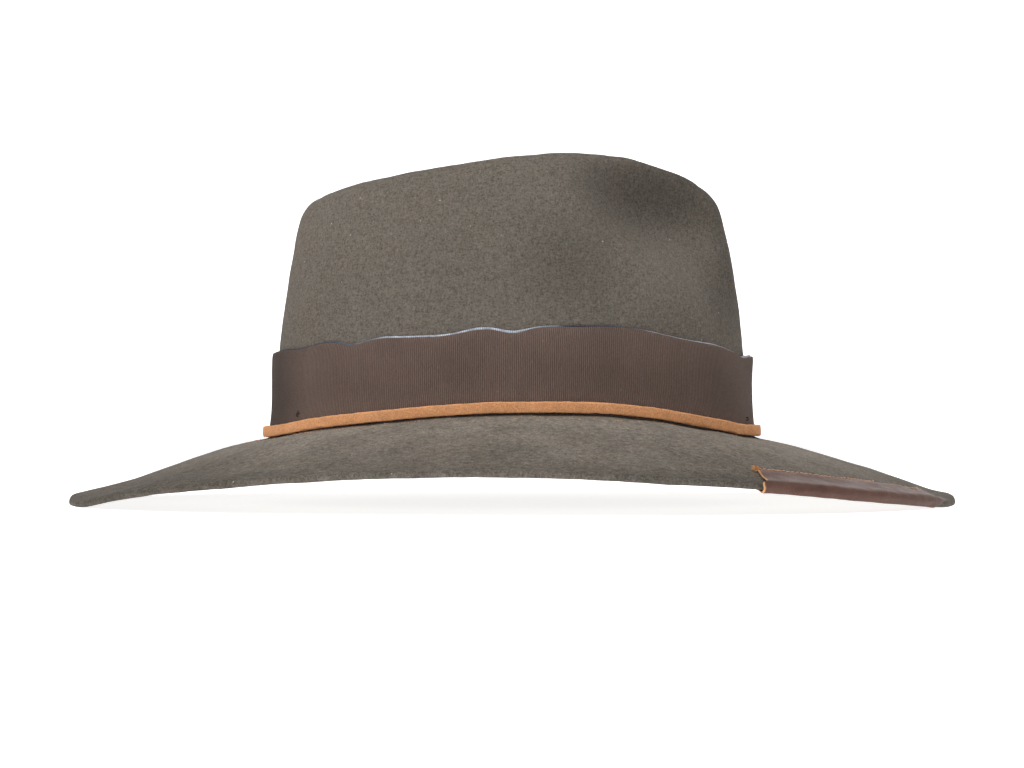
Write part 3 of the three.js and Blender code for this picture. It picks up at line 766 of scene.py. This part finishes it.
class OBJECT_OT_hat_ribbon(bpy.types.Operator):
    """Makes the ribbed ribbon and its blue edge"""

    bl_idname = "object.hat_ribbon"
    bl_label = "Ribbon and blue edge"

    def execute(self, context):
        settings = context.scene.hat_ribbon
        low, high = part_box("ribbon_band")
        ribbon = copy_of("ribbon_band", "ribbon")
        crease_corners(ribbon, 50, 0.15)
        subdivide(ribbon, 3)
        for vertex in ribbon.data.vertices:
            share = ramp(vertex.co.z, low.z, high.z - low.z)
            turn = math.radians(azimuth_of(vertex.co))
            ripple = noise.noise(Vector((math.cos(turn) * 7, math.sin(turn) * 7, 2.5)))
            vertex.co.z += settings.waviness * ripple * share ** 3
        unevenness(ribbon, 0.02, 0.1 * MM, 4)
        self.knots(ribbon, settings)
        brim_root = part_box("leather_lace")[0].z
        mark_band(ribbon, brim_root, RIBBON_PAINTED_SHADE, "tone")
        ribbon.data.materials.append(ribbon_finish(settings.colour, settings.rib_pitch))
        finished(ribbon, "ribbon_band")

        edge = copy_of("ribbon_edge", "ribbon_blue_edge")
        crease_corners(edge, 50, 0.7)
        subdivide(edge, 2)
        self.trim_edge(edge, ribbon)
        mark_band(edge, brim_root, BLUE_EDGE, "light")
        edge.data.materials.append(edge_finish(settings.edge_dark, settings.edge_light, settings.rib_pitch))
        finished(edge, "ribbon_edge")
        return {"FINISHED"}

    def knots(self, ribbon, settings):
        """Two small knots of dark thread, each a pair of crossed loops."""
        surface = surface_of(ribbon)
        places = []
        for row in KNOTS:
            way = way_to(row["azimuth"])
            hit, normal = surface.ray_cast(way * OUTSIDE + Vector((0, 0, row["height"])), -way)[:2]
            if hit is None:
                raise RuntimeError("a knot has no ribbon under it")
            facing = normal.to_track_quat("X", "Z").to_matrix().to_4x4()
            for lean in (row["turn"], row["turn"] + 70):
                tilted = Matrix.Rotation(math.radians(lean), 4, "X")
                places.append(Matrix.Translation(hit + normal * 0.1 * MM) @ facing @ tilted)
        deselect()
        bpy.ops.mesh.primitive_torus_add(
            major_segments=16, minor_segments=8, major_radius=1.05 * MM, minor_radius=0.22 * MM)
        loop = bpy.context.object
        bpy.ops.object.mode_set(mode="EDIT")
        bpy.ops.mesh.select_all(action="SELECT")
        bpy.ops.transform.resize(value=(0.55, 1.0, 1.0))
        bpy.ops.object.mode_set(mode="OBJECT")
        knots = repeat(loop, places, "ribbon_knots")
        knots.data.materials.append(thread_finish("dark_thread", settings.knot_colour, 0.85))
        finished(knots)

    def trim_edge(self, edge, ribbon):
        """Lets the blue edge stand above the ribbon by more in some places than in others."""
        tops = [0.0] * EDGE_STEPS
        for vertex in ribbon.data.vertices:
            slot = int(steps_round(vertex.co, EDGE_STEPS)) % EDGE_STEPS
            tops[slot] = max(tops[slot], vertex.co.z)
        for vertex in edge.data.vertices:
            azimuth = azimuth_of(vertex.co)
            slot = int(steps_round(vertex.co, EDGE_STEPS)) % EDGE_STEPS
            above = vertex.co.z - tops[slot] + EDGE_LIFT
            if above > 0:
                shown = between(BLUE_EDGE, "azimuth", "shown", abs(azimuth))
                turn = math.radians(azimuth)
                frayed = 1 + 0.25 * noise.noise(Vector((math.cos(turn) * 30, math.sin(turn) * 30, 8.0)))
                vertex.co.z = tops[slot] + above * shown * frayed
        edge.data.update()


class OBJECT_OT_hat_lace(bpy.types.Operator):
    """Makes the suede lace and the loose hairs along it"""

    bl_idname = "object.hat_lace"
    bl_label = "Suede lace"

    def execute(self, context):
        settings = context.scene.hat_lace
        lace = copy_of("leather_lace", "suede_lace")
        subdivide(lace, 3)
        for vertex in lace.data.vertices:
            if vertex.normal.z < -0.3:
                vertex.co.z -= 0.25 * MM
        unevenness(lace, 0.006, 0.16 * MM, 5)
        unevenness(lace, 0.0018, 0.09 * MM, 6)
        lace.data.materials.append(suede_finish(settings.colour))
        finished(lace, "leather_lace")
        self.hairs(lace, settings)
        return {"FINISHED"}

    def hairs(self, lace, settings):
        """Loose suede hairs that stand off the lace, most along its upper and lower edges."""
        chance = random.Random(11)
        rim = [polygon for polygon in lace.data.polygons if abs(polygon.normal.z) > 0.35]
        rim = [p for p in rim if p.normal.x * p.center.x + p.normal.y * p.center.y > 0]
        roots = []
        for _ in range(settings.hair_count):
            polygon = chance.choice(rim)
            out = polygon.normal.copy()
            length = chance.uniform(0.35, 1.1) * MM
            way = (out + random_way(chance) * 0.9).normalized()
            bend = (way + random_way(chance) * 0.6).normalized()
            start = polygon.center - out * 0.1 * MM
            middle = start + way * length * 0.6
            roots.append([start, middle, middle + bend * length * 0.5])
        suede_hair = suede_finish(settings.colour, "suede_hair")
        hairs = fibres("lace_hairs", roots, 0.09 * MM)
        hairs.data.materials.append(suede_hair)
        finished(hairs)
        lint = fibres("brim_lint", self.lint(settings, chance), 0.26 * MM)
        lint.data.materials.append(suede_hair)
        finished(lint)

    def lint(self, settings, chance):
        """Hairs that lie on the brim close to the lace, most of them towards the back."""
        surface = surface_of(bpy.data.objects["felt_hat"])
        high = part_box("leather_lace")[1]
        roots = []
        while len(roots) < settings.lint_count:
            turn = math.radians(chance.triangular(-180, -20, -150))
            away = chance.uniform(1.0, 9.0) * MM
            across = Vector((math.cos(turn) * (high.x + away), math.sin(turn) * (high.y + away), 0.1))
            hit, normal = surface.ray_cast(across, Vector((0, 0, -1)))[:2]
            if hit is None or hit.z > high.z:
                continue
            way = normal.orthogonal().normalized()
            way.rotate(Matrix.Rotation(chance.uniform(0, 2 * math.pi), 3, normal))
            length = chance.uniform(0.5, 1.6) * MM
            start = hit + normal * 0.06 * MM
            bend = way + normal * chance.uniform(0.1, 0.5) + normal.cross(way) * chance.uniform(-0.5, 0.5)
            middle = start + way * length / 2 + normal * 0.1 * MM
            roots.append([start, middle, middle + bend.normalized() * length / 2])
        return roots


class OBJECT_OT_hat_patch(bpy.types.Operator):
    """Makes the leather patch, its stitches and its frayed corner"""

    bl_idname = "object.hat_patch"
    bl_label = "Brim patch"

    def execute(self, context):
        settings = context.scene.hat_patch
        patch = copy_of("brim_patch", "leather_patch")
        crease_corners(patch, 50, 0.25)
        subdivide(patch, 3)
        self.round_cut_end(patch)
        unevenness(patch, 0.012, 0.16 * MM, 7, lambda point: ramp(point.z, 1.2 * MM, 3 * MM))
        self.mark_edges(patch)
        patch.data.materials.append(leather_finish(settings.colour, settings.raw_colour))
        finished(patch, "brim_patch")
        self.stitches(patch, settings)
        self.fray(patch, settings)
        return {"FINISHED"}

    def round_cut_end(self, patch):
        """Fills out the corner of the cut end's notch where the patch turns over the rim."""
        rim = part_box("felt_body")[1]
        first = min(azimuth_of(vertex.co) for vertex in patch.data.vertices)
        for vertex in patch.data.vertices:
            azimuth = azimuth_of(vertex.co)
            radius = math.hypot(vertex.co.x, vertex.co.y)
            from_end = math.radians(azimuth - first) * radius
            fade = 1 - ramp(from_end, 0, NOTCH_FADE)
            moved = 0.0
            for row in NOTCH_MOVES:
                above = (vertex.co.z - row["height"]) / row["spread"]
                moved += fade * row["moved"] * math.exp(-above ** 2)
            turned = math.radians(azimuth) - moved / radius
            old_reach = 1 / math.hypot(vertex.co.x / radius / rim.x, vertex.co.y / radius / rim.y)
            new_reach = 1 / math.hypot(math.cos(turned) / rim.x, math.sin(turned) / rim.y)
            radius *= new_reach / old_reach
            height = vertex.co.z + moved * RIM_SLOPE
            vertex.co = Vector((radius * math.cos(turned), radius * math.sin(turned), height))
        patch.data.update()

    def fray(self, patch, settings):
        """A small tuft of leather fibres at the upper corner of the cut end."""
        chance = random.Random(5)
        first = min(azimuth_of(vertex.co) for vertex in patch.data.vertices)
        tip = [vertex.co for vertex in patch.data.vertices if azimuth_of(vertex.co) < first + 4]
        tip = sorted(tip, key=lambda point: -point.z)[:24]
        roots = []
        for _ in range(settings.fray_count):
            start = chance.choice(tip)
            back = Vector((-0.75, -0.1, 0.35)) + random_way(chance, 0.5)
            length = chance.uniform(1.4, 3.8) * MM
            way = back.normalized()
            middle = start + way * length * 0.55
            bend = (back + random_way(chance, 0.6)).normalized()
            roots.append([start - way * 0.3 * MM, middle, middle + bend * length * 0.45])
        tuft = fibres("patch_fray", roots, 0.45 * MM)
        tuft.data.materials.append(suede_finish(settings.raw_colour, "leather_fibre"))
        finished(tuft)

    def mark_edges(self, patch):
        """Stores for each point how far it is from the cut end and from the flaps' edges."""
        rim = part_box("felt_body")[1]
        azimuths = [azimuth_of(vertex.co) for vertex in patch.data.vertices]
        ends = KDTree(len(patch.data.vertices))
        flaps = KDTree(len(patch.data.vertices))
        low, high = min(azimuths), max(azimuths)
        for polygon in patch.data.polygons:
            centre = polygon.center
            across = Vector((-centre.y, centre.x, 0)).normalized()
            if abs(polygon.normal.dot(across)) > 0.75 and azimuth_of(centre) < (low + high) / 2:
                ends.insert(centre, polygon.index)
            inwards = Vector((-centre.x, -centre.y, 0)).normalized()
            on_flap = math.hypot(centre.x / rim.x, centre.y / rim.y) < FLAP_REACH
            if on_flap and polygon.normal.dot(inwards) > 0.7:
                flaps.insert(centre, polygon.index)
        ends.balance()
        flaps.balance()
        values = []
        for vertex in patch.data.vertices:
            values.extend((ends.find(vertex.co)[2], flaps.find(vertex.co)[2], 0.0))
        store(patch, "patch_place", values)

    def stitches(self, patch, settings):
        """Small stitches along the upper flap's edge."""
        surface = surface_of(patch)
        above = Vector((0, 0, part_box("brim_patch")[1].z + 20 * MM))
        search = STITCH_SEARCH
        spots = []
        azimuth = search["from"]
        while azimuth < search["to"]:
            way = way_to(azimuth)
            radius = search["inside"]
            while radius < search["outside"]:
                start = way * radius + above
                hit, normal = surface.ray_cast(start, Vector((0, 0, -1)))[:2]
                if hit is not None and normal.z > 0.3:
                    spots.append((way, radius))
                    break
                radius += search["step"]
            azimuth += search["turn"]
        line = []
        for way, radius in spots[8:-8]:
            start = way * (radius + settings.stitch_inset) + above
            hit, normal = surface.ray_cast(start, Vector((0, 0, -1)))[:2]
            if hit is not None:
                line.append((hit, normal))
        places = []
        since = settings.stitch_pitch
        for (hit, normal), (after, _) in zip(line, line[1:]):
            step = (after - hit).length
            since += step
            if since >= settings.stitch_pitch and step > 0:
                since = 0.0
                along = (after - hit).normalized()
                side = normal.cross(along).normalized()
                turn = Matrix((along, side, normal)).transposed().to_4x4()
                places.append(Matrix.Translation(hit + normal * 0.12 * MM) @ turn)
        deselect()
        bpy.ops.mesh.primitive_uv_sphere_add(segments=8, ring_count=6, radius=0.6 * MM)
        stitch = bpy.context.object
        bpy.ops.object.mode_set(mode="EDIT")
        bpy.ops.mesh.select_all(action="SELECT")
        bpy.ops.transform.resize(value=(1.75, 0.7, 0.6))
        bpy.ops.object.mode_set(mode="OBJECT")
        row = repeat(stitch, places, "patch_stitches")
        row.data.materials.append(thread_finish("stitch_thread", settings.stitch_colour, 0.8))
        finished(row)


class OBJECT_OT_hat_stage(bpy.types.Operator):
    """Makes the pale floor, the soft lights and the camera"""

    bl_idname = "object.hat_stage"
    bl_label = "Floor, light and camera"

    def execute(self, context):
        settings = context.scene.hat_stage
        self.floor(settings)
        self.lights(context, settings)
        self.camera(context, settings)
        return {"FINISHED"}

    def floor(self, settings):
        """One sheet: the floor, swept up behind into the backdrop."""
        deselect()
        bpy.ops.mesh.primitive_plane_add(size=1, location=(0, 0, 0))
        floor = bpy.context.object
        floor.name = "pale_floor"
        bpy.ops.object.mode_set(mode="EDIT")
        bpy.ops.mesh.select_all(action="SELECT")
        bpy.ops.transform.resize(value=(*FLOOR_SIZE, 1))
        bpy.ops.transform.translate(value=(0, -FLOOR_FORWARD, 0))
        bpy.ops.mesh.select_all(action="DESELECT")
        shape = bmesh.from_edit_mesh(floor.data)
        for edge in shape.edges:
            if all(vertex.co.y > 0 for vertex in edge.verts):
                edge.select = True
        bmesh.update_edit_mesh(floor.data)
        for step in range(SWEEP_STEPS):
            turn = math.radians((step + 0.5) * 90 / SWEEP_STEPS)
            rise = (0, SWEEP_STEP * math.cos(turn), SWEEP_STEP * math.sin(turn))
            bpy.ops.mesh.extrude_edges_move(TRANSFORM_OT_translate={"value": rise})
        bpy.ops.mesh.extrude_edges_move(TRANSFORM_OT_translate={"value": (0, 0, WALL_HEIGHT)})
        bpy.ops.mesh.select_all(action="SELECT")
        bpy.ops.mesh.normals_make_consistent(inside=False)
        bpy.ops.object.mode_set(mode="OBJECT")
        if floor.data.polygons[0].normal.z < 0:
            floor.data.flip_normals()
        bpy.ops.object.shade_smooth()
        floor.data.materials.append(floor_finish(settings.floor_colour, settings.floor_glow))

    def lights(self, context, settings):
        world = bpy.data.worlds.new("soft_studio")
        context.scene.world = world
        world.use_nodes = True
        background = world.node_tree.nodes["Background"]
        background.inputs["Color"].default_value = (1.0, 1.0, 1.0, 1.0)
        background.inputs["Strength"].default_value = settings.ambient
        for row in LAMPS:
            deselect()
            bpy.ops.object.light_add(type="AREA", location=row["place"])
            lamp = context.object
            lamp.name = row["name"]
            lamp.data.energy = getattr(settings, row["power"])
            lamp.data.size = LAMP_SIZE
            aim = Vector(LAMP_AIM) - Vector(row["place"])
            lamp.rotation_euler = aim.to_track_quat("-Z", "Y").to_euler()

    def camera(self, context, settings):
        deselect()
        place = (0, -settings.camera_distance, settings.camera_height)
        bpy.ops.object.camera_add(location=place, rotation=(math.radians(90), 0, 0))
        camera = context.object
        camera.name = "photo_camera"
        camera.data.sensor_width = 36
        camera.data.lens = settings.lens
        camera.data.clip_start = 0.01
        camera.data.clip_end = 100
        context.scene.camera = camera
        context.scene.view_settings.view_transform = "Standard"


OPERATORS = [
    OBJECT_OT_hat_felt,
    OBJECT_OT_hat_ribbon,
    OBJECT_OT_hat_lace,
    OBJECT_OT_hat_patch,
    OBJECT_OT_hat_stage,
]

SETTINGS = {
    "hat_felt": HatFeltSettings,
    "hat_ribbon": HatRibbonSettings,
    "hat_lace": HatLaceSettings,
    "hat_patch": HatPatchSettings,
    "hat_stage": HatStageSettings,
}


class VIEW3D_PT_hat(bpy.types.Panel):
    """The hat's settings and the operators that make it"""

    bl_idname = "VIEW3D_PT_hat"
    bl_label = "Wool felt hat"
    bl_space_type = "VIEW_3D"
    bl_region_type = "UI"
    bl_category = "Hat"

    def draw(self, context):
        for operator, (name, group) in zip(OPERATORS, SETTINGS.items()):
            box = self.layout.box()
            settings = getattr(context.scene, name)
            for key in group.__annotations__:
                box.prop(settings, key)
            box.operator(operator.bl_idname)


def register():
    for name, group in SETTINGS.items():
        bpy.utils.register_class(group)
        setattr(bpy.types.Scene, name, bpy.props.PointerProperty(type=group))
    for operator in OPERATORS:
        bpy.utils.register_class(operator)
    bpy.utils.register_class(VIEW3D_PT_hat)


def unregister():
    bpy.utils.unregister_class(VIEW3D_PT_hat)
    for operator in reversed(OPERATORS):
        bpy.utils.unregister_class(operator)
    for name, group in reversed(SETTINGS.items()):
        delattr(bpy.types.Scene, name)
        bpy.utils.unregister_class(group)


def main():
    register()
    deselect()
    bpy.ops.object.hat_felt()
    bpy.ops.object.hat_ribbon()
    bpy.ops.object.hat_lace()
    bpy.ops.object.hat_patch()
    bpy.ops.object.hat_stage()


if __name__ == "__main__":
    main()
